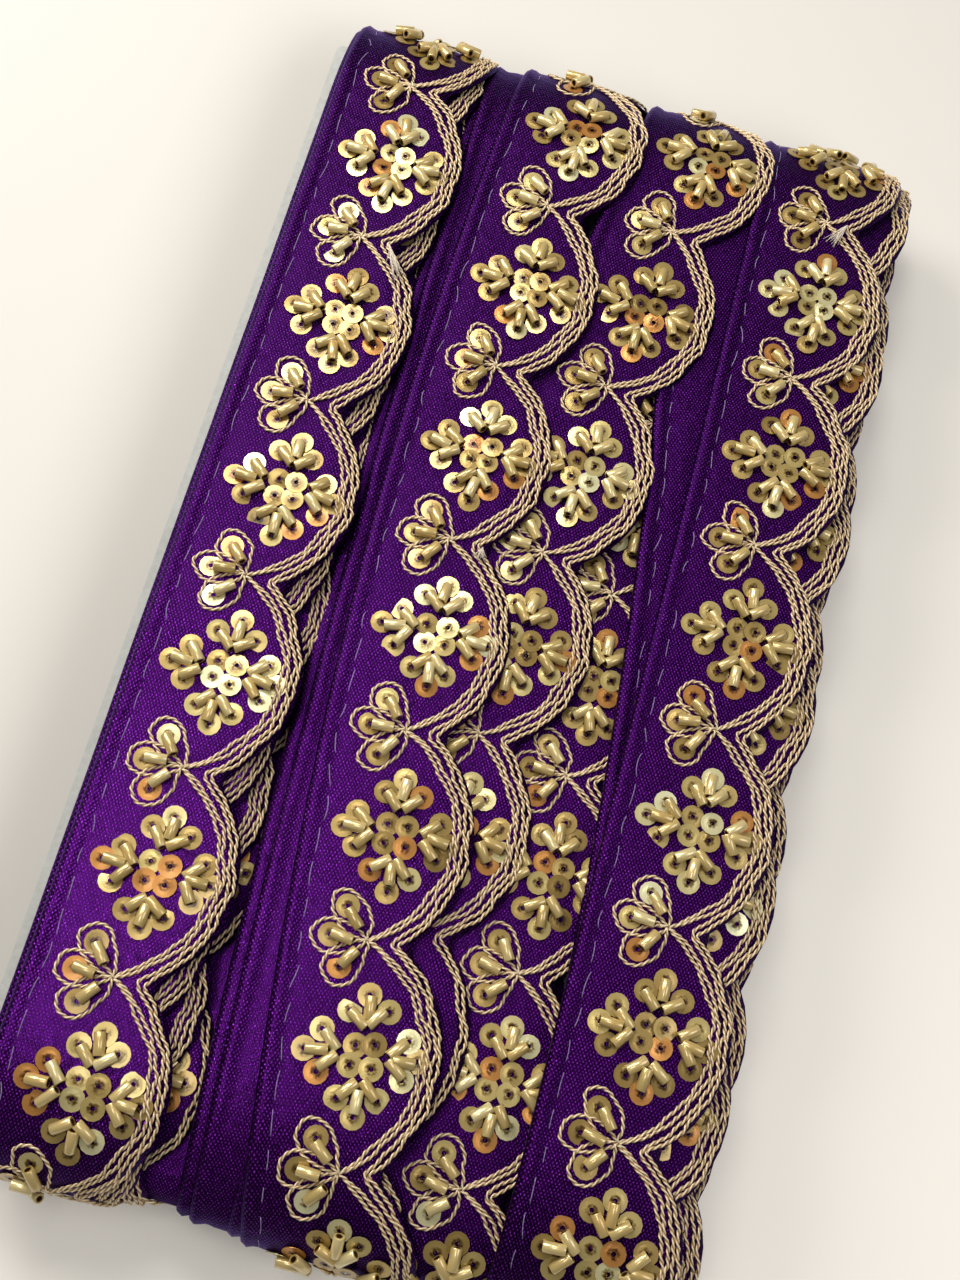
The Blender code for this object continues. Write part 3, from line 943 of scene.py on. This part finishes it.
def fray(run, repeat, across, heading, length, material):
    """A tuft of loose thread ends, each a thin tube that bends as it goes:
    out = length t, side = sway t squared, lift = 1 + rise sin(pi t)."""
    share = np.linspace(0.0, 1.0, 5)
    angle = np.radians(heading + chance.normal(0, 7.0, TUFT_COUNT))[:, None]
    sway = chance.normal(0, 0.8, TUFT_COUNT)[:, None] * share ** 2
    out = chance.uniform(0.45, 1.0, TUFT_COUNT)[:, None] * length * share
    along = out * np.cos(angle) - sway * np.sin(angle)
    sideways = across + out * np.sin(angle) + sway * np.cos(angle)
    lift = 1.1 + chance.uniform(0.1, 0.9, TUFT_COUNT)[:, None] * np.sin(np.pi * share)
    centres = run.place(repeat + along / PITCH, sideways, lift)
    lifted = run.place(repeat + along / PITCH, sideways, lift + FRAME_RISE)
    side, normal = frames(centres, lifted, False)
    thinning = TUFT_THREAD * (1 - 0.6 * share)[None, :, None, None]
    rings = thin_tubes(centres, side, normal, thinning)
    faces = tube_faces(TUFT_COUNT, len(share), False, 4)
    return make_piece(f"{run.name}_frayed_ends", rings, faces, material)


def sew_stitches(run, material):
    """A running stitch along the folded edge: short threads that bow a little
    to the side and arch up, rise = 1 - (2 share) to the fourth."""
    count = int(REPEATS * PITCH / STITCH_REPEAT)
    start = np.arange(count) * STITCH_REPEAT / PITCH
    share = np.linspace(-0.5, 0.5, 6)
    length = STITCH_LENGTH * chance.uniform(*STITCH_SHARES, count)
    repeat = start[:, None] + share[None] * length[:, None] / PITCH
    sway = chance.normal(0, STITCH_SWAY, count)[:, None] * share[None] * 2
    bow = chance.normal(0, STITCH_BOW, count)[:, None] * (1 - (2 * share[None]) ** 2)
    across = FOLD_EDGE + STITCH_LINE + sway + bow + chance.normal(0, STITCH_OFF, count)[:, None]
    arch = STITCH_ARCH[0] + STITCH_ARCH[1] * (1 - (2 * share) ** 4)
    centres = run.place(repeat, across, arch[None] + 0 * repeat)
    lifted = run.place(repeat, across, arch[None] + FRAME_RISE + 0 * repeat)
    side, normal = frames(centres, lifted, False)
    rings = thin_tubes(centres, side, normal, STITCH_THREAD)
    faces = tube_faces(count, len(share), False, 4)
    return make_piece(f"{run.name}_stitches", rings, faces, material)


# Where things are sewn, counted in repeats from a run's first flower. FRAYED
# gives a tuft's repeat, across, heading in degrees and length.
FRAYED = {"first": (-1.5, 4.2, 30.0, 10.0), "second": (-0.5, 5.0, -10.0, 3.0),
          "fourth": (-2.52, 3.0, -25.0, 7.0)}
FRONT = (-3, -2, -1, 0, 1, 2, 3)
BACK = (4, 5, 6, 7, 8, 9)
WHOLE = {
    "first": FRONT + BACK,
    "second": FRONT + BACK,
    "third": FRONT[:5] + BACK,
    "fourth": FRONT + BACK,
    "under_third": FRONT[1:],
}
EDGE_ONLY = {"third": FRONT}
FLOWERS_BELOW = {"first_lower": FRONT[1:6], "fourth_lower": FRONT[1:6],
                 "first_base": FRONT[4:]}
INNER_BELOW = {"first_lower": FRONT, "first_deep": FRONT, "fourth_lower": FRONT,
               "fourth_deep": FRONT, "first_base": (), "fourth_base": ()}
STITCHED = ("first", "second", "under_fourth", "fourth")


def make_winding(materials):
    """All runs: the cloth, then what is sewn on it where it shows."""
    cloths = []
    for name in RUNS:
        run = Run(name)
        shown = name in WHOLE or name.startswith("under")
        cloth = make_cloth(run, CLOTH_ROWS if shown else CLOTH_ROWS_LOWER,
                           TOP_SHARES if shown else LOWER_SHARES, materials["cloth"])
        thicken = cloth.modifiers.new("thickness", "SOLIDIFY")
        thicken.thickness = CLOTH * MM
        thicken.offset = -1.0
        cloths.append(cloth)
        if name in WHOLE:
            bag = CordBag(run)
            for side, step in ((FRONT, FRONT_STEP), (BACK, BACK_STEP)):
                here = [flower for flower in WHOLE[name] if flower in side]
                edge = EDGE_ONLY.get(name, here) if side is FRONT else here
                lay_cords(run, edge, here, here, step, bag)
            bag.piece(materials["cords"])
            here = WHOLE[name]
            sew_motifs(run, here, here, [flower for flower in here if flower in FRONT], materials)
        if name in INNER_BELOW:
            bag = CordBag(run)
            lay_cords(run, FRONT + BACK, INNER_BELOW[name], (), LOWER_STEP, bag)
            bag.piece(materials["cords"])
        if name in FLOWERS_BELOW:
            sew_motifs(run, FLOWERS_BELOW[name], (), (), materials)
        if name in STITCHED:
            sew_stitches(run, materials["stitches"])
        if name in FRAYED:
            fray(run, *FRAYED[name], materials["frays"])
    return cloths


CAMERA_LENS = 45.71
CAMERA_PLACE = (-5.42, -117.43, 328.59)
CAMERA_UP = (-0.27355, 0.90813, 0.31698)
CAMERA_BACK = (-0.01431, -0.33336, 0.94269)


def make_camera():
    """The photo's own view: where it was held, its upright and its back."""
    camera = bpy.data.objects.new("camera", bpy.data.cameras.new("camera"))
    bpy.context.collection.objects.link(camera)
    camera.data.lens = CAMERA_LENS
    camera.data.clip_start = 0.01
    up = Vector(CAMERA_UP)
    back = Vector(CAMERA_BACK)
    turn = Matrix((up.cross(back), up, back)).transposed().to_4x4()
    camera.matrix_world = Matrix.Translation(Vector(CAMERA_PLACE) * MM) @ turn
    bpy.context.scene.camera = camera


def aim(thing, place, target):
    """Put a lamp at a place, looking at the target."""
    way = Vector(target) - Vector(place)
    thing.location = Vector(place) * MM
    thing.rotation_euler = way.to_track_quat("-Z", "Y").to_euler()


def make_lamp(name, place, target, size, power, colour):
    """An area lamp of a size in millimetres and a power in watts."""
    light = bpy.data.lights.new(name, "AREA")
    light.shape = "RECTANGLE"
    light.size = size[0] * MM
    light.size_y = size[1] * MM
    light.energy = power
    light.color = linear(colour)[:3]
    lamp = bpy.data.objects.new(name, light)
    bpy.context.collection.objects.link(lamp)
    aim(lamp, place, target)
    return lamp


def light_only(lamp, things):
    """Let a lamp reach these things alone."""
    reached = bpy.data.collections.new(f"lit_by_{lamp.name}")
    for thing in things:
        reached.objects.link(thing)
    lamp.light_linking.receiver_collection = reached


FLOOR_HALF = 3000.0
LAMPS = {
    "key": ((-380, 240, 340), (-30, 20, 15), (260, 260), 2.35, "#fff8f0"),
    "window": ((-165, 325, 630), (-30, 20, 15), (200, 200), 1.8, "#fffcf4"),
    "near_window": ((-110, -90, 640), (-30, -60, 15), (200, 160), 0.65, "#fffcf4"),
    "fill": ((420, 40, 560), (0, 0, 15), (300, 300), 0.9, "#fbfaff"),
    "sweep": ((340, -220, 460), (130, -80, 0), (300, 300), 2.7, "#fffaf4"),
    "sheen": ((-190, -110, 520), (-68, -62, 20), (70, 130), 0.08, "#fffaf4"),
}
SHEEN_SPREAD = 22.0


def make_studio(material, cloths):
    """The paper floor, the lamps and a dim room. One lamp evens the floor
    alone, and a narrow one brings out the sheen of the cloth on the left."""
    corners = np.array(((-1, -1, 0), (1, -1, 0), (1, 1, 0), (-1, 1, 0))) * FLOOR_HALF
    mesh = bpy.data.meshes.new("floor")
    mesh.from_pydata((corners * MM).tolist(), [], [(0, 1, 2, 3)])
    mesh.materials.append(material)
    floor = bpy.data.objects.new("floor", mesh)
    bpy.context.collection.objects.link(floor)
    lamps = {name: make_lamp(name, *settings) for name, settings in LAMPS.items()}
    light_only(lamps["sweep"], (floor,))
    lamps["sheen"].data.spread = np.radians(SHEEN_SPREAD)
    light_only(lamps["sheen"], cloths)
    world = bpy.data.worlds.new("studio")
    world.use_nodes = True
    background = world.node_tree.nodes["Background"]
    background.inputs["Color"].default_value = linear("#f3efe8")
    background.inputs["Strength"].default_value = 0.24
    bpy.context.scene.world = world
    bpy.context.scene.view_settings.view_transform = "Standard"


materials = {
    "cloth": plain_woven_cloth(),
    "cords": twisted_cord(),
    "sequins": sequin_film(),
    "beads": lined_bead(),
    "stitches": sewing_thread("lilac_sewing_thread", ("#5f4c86", "#a091bc")),
    "threads": sewing_thread("brown_beading_thread", ("#3a2618", "#8a6a40")),
    "frays": sewing_thread("pale_frayed_thread", ("#cbbcaa", "#f4ece0")),
}
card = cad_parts["card"]
card.data.materials.clear()
card.data.materials.append(pulp_board())

cloths = make_winding(materials)
make_camera()
make_studio(studio_floor(), cloths)

# Hide the part's own wound trim; the loop does it once for each cloth.
for cloth in cloths:
    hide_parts("wound_trim")
